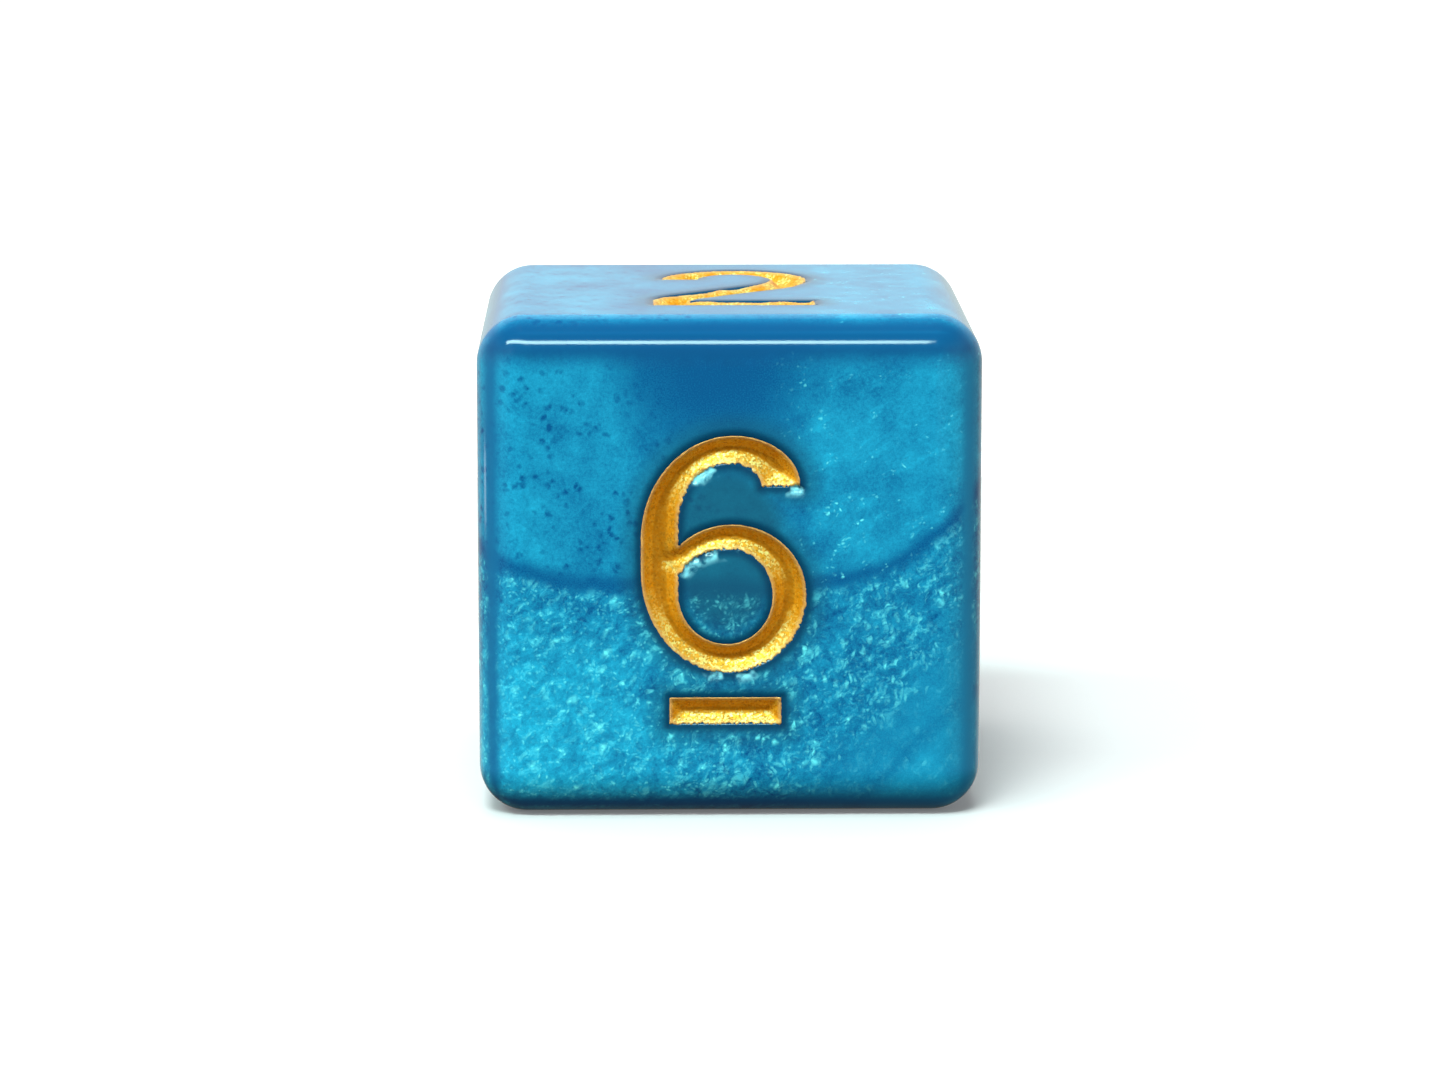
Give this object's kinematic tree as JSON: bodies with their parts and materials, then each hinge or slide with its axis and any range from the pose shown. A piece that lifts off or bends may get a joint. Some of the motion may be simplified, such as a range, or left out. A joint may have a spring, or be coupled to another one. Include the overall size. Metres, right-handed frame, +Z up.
{
  "type": "numeral gaming die",
  "caption": "Rounded six-sided gaming die of pearl resin with engraved gold-inked numerals and an underlined six.",
  "frame": {"origin": "centre of the face the die rests on, which carries the five", "axes": "+Z up out of the two, -Y out of the six, +X out of the three"},
  "size_m": [0.016, 0.016, 0.016],
  "materials": {
    "pearl_resin": "polished translucent blue resin with swirled pearl pigment and fine sparkle",
    "gold_ink": "metallic gold ink, thin and grainy, lining the engraved numerals"
  },
  "bodies": {
    "root": {"die_body": "pearl_resin", "paint_one": "gold_ink", "paint_two": "gold_ink", "paint_three": "gold_ink", "paint_four": "gold_ink", "paint_five": "gold_ink", "paint_six": "gold_ink", "paint_six_underline": "gold_ink"}
  },
  "joints": []
}
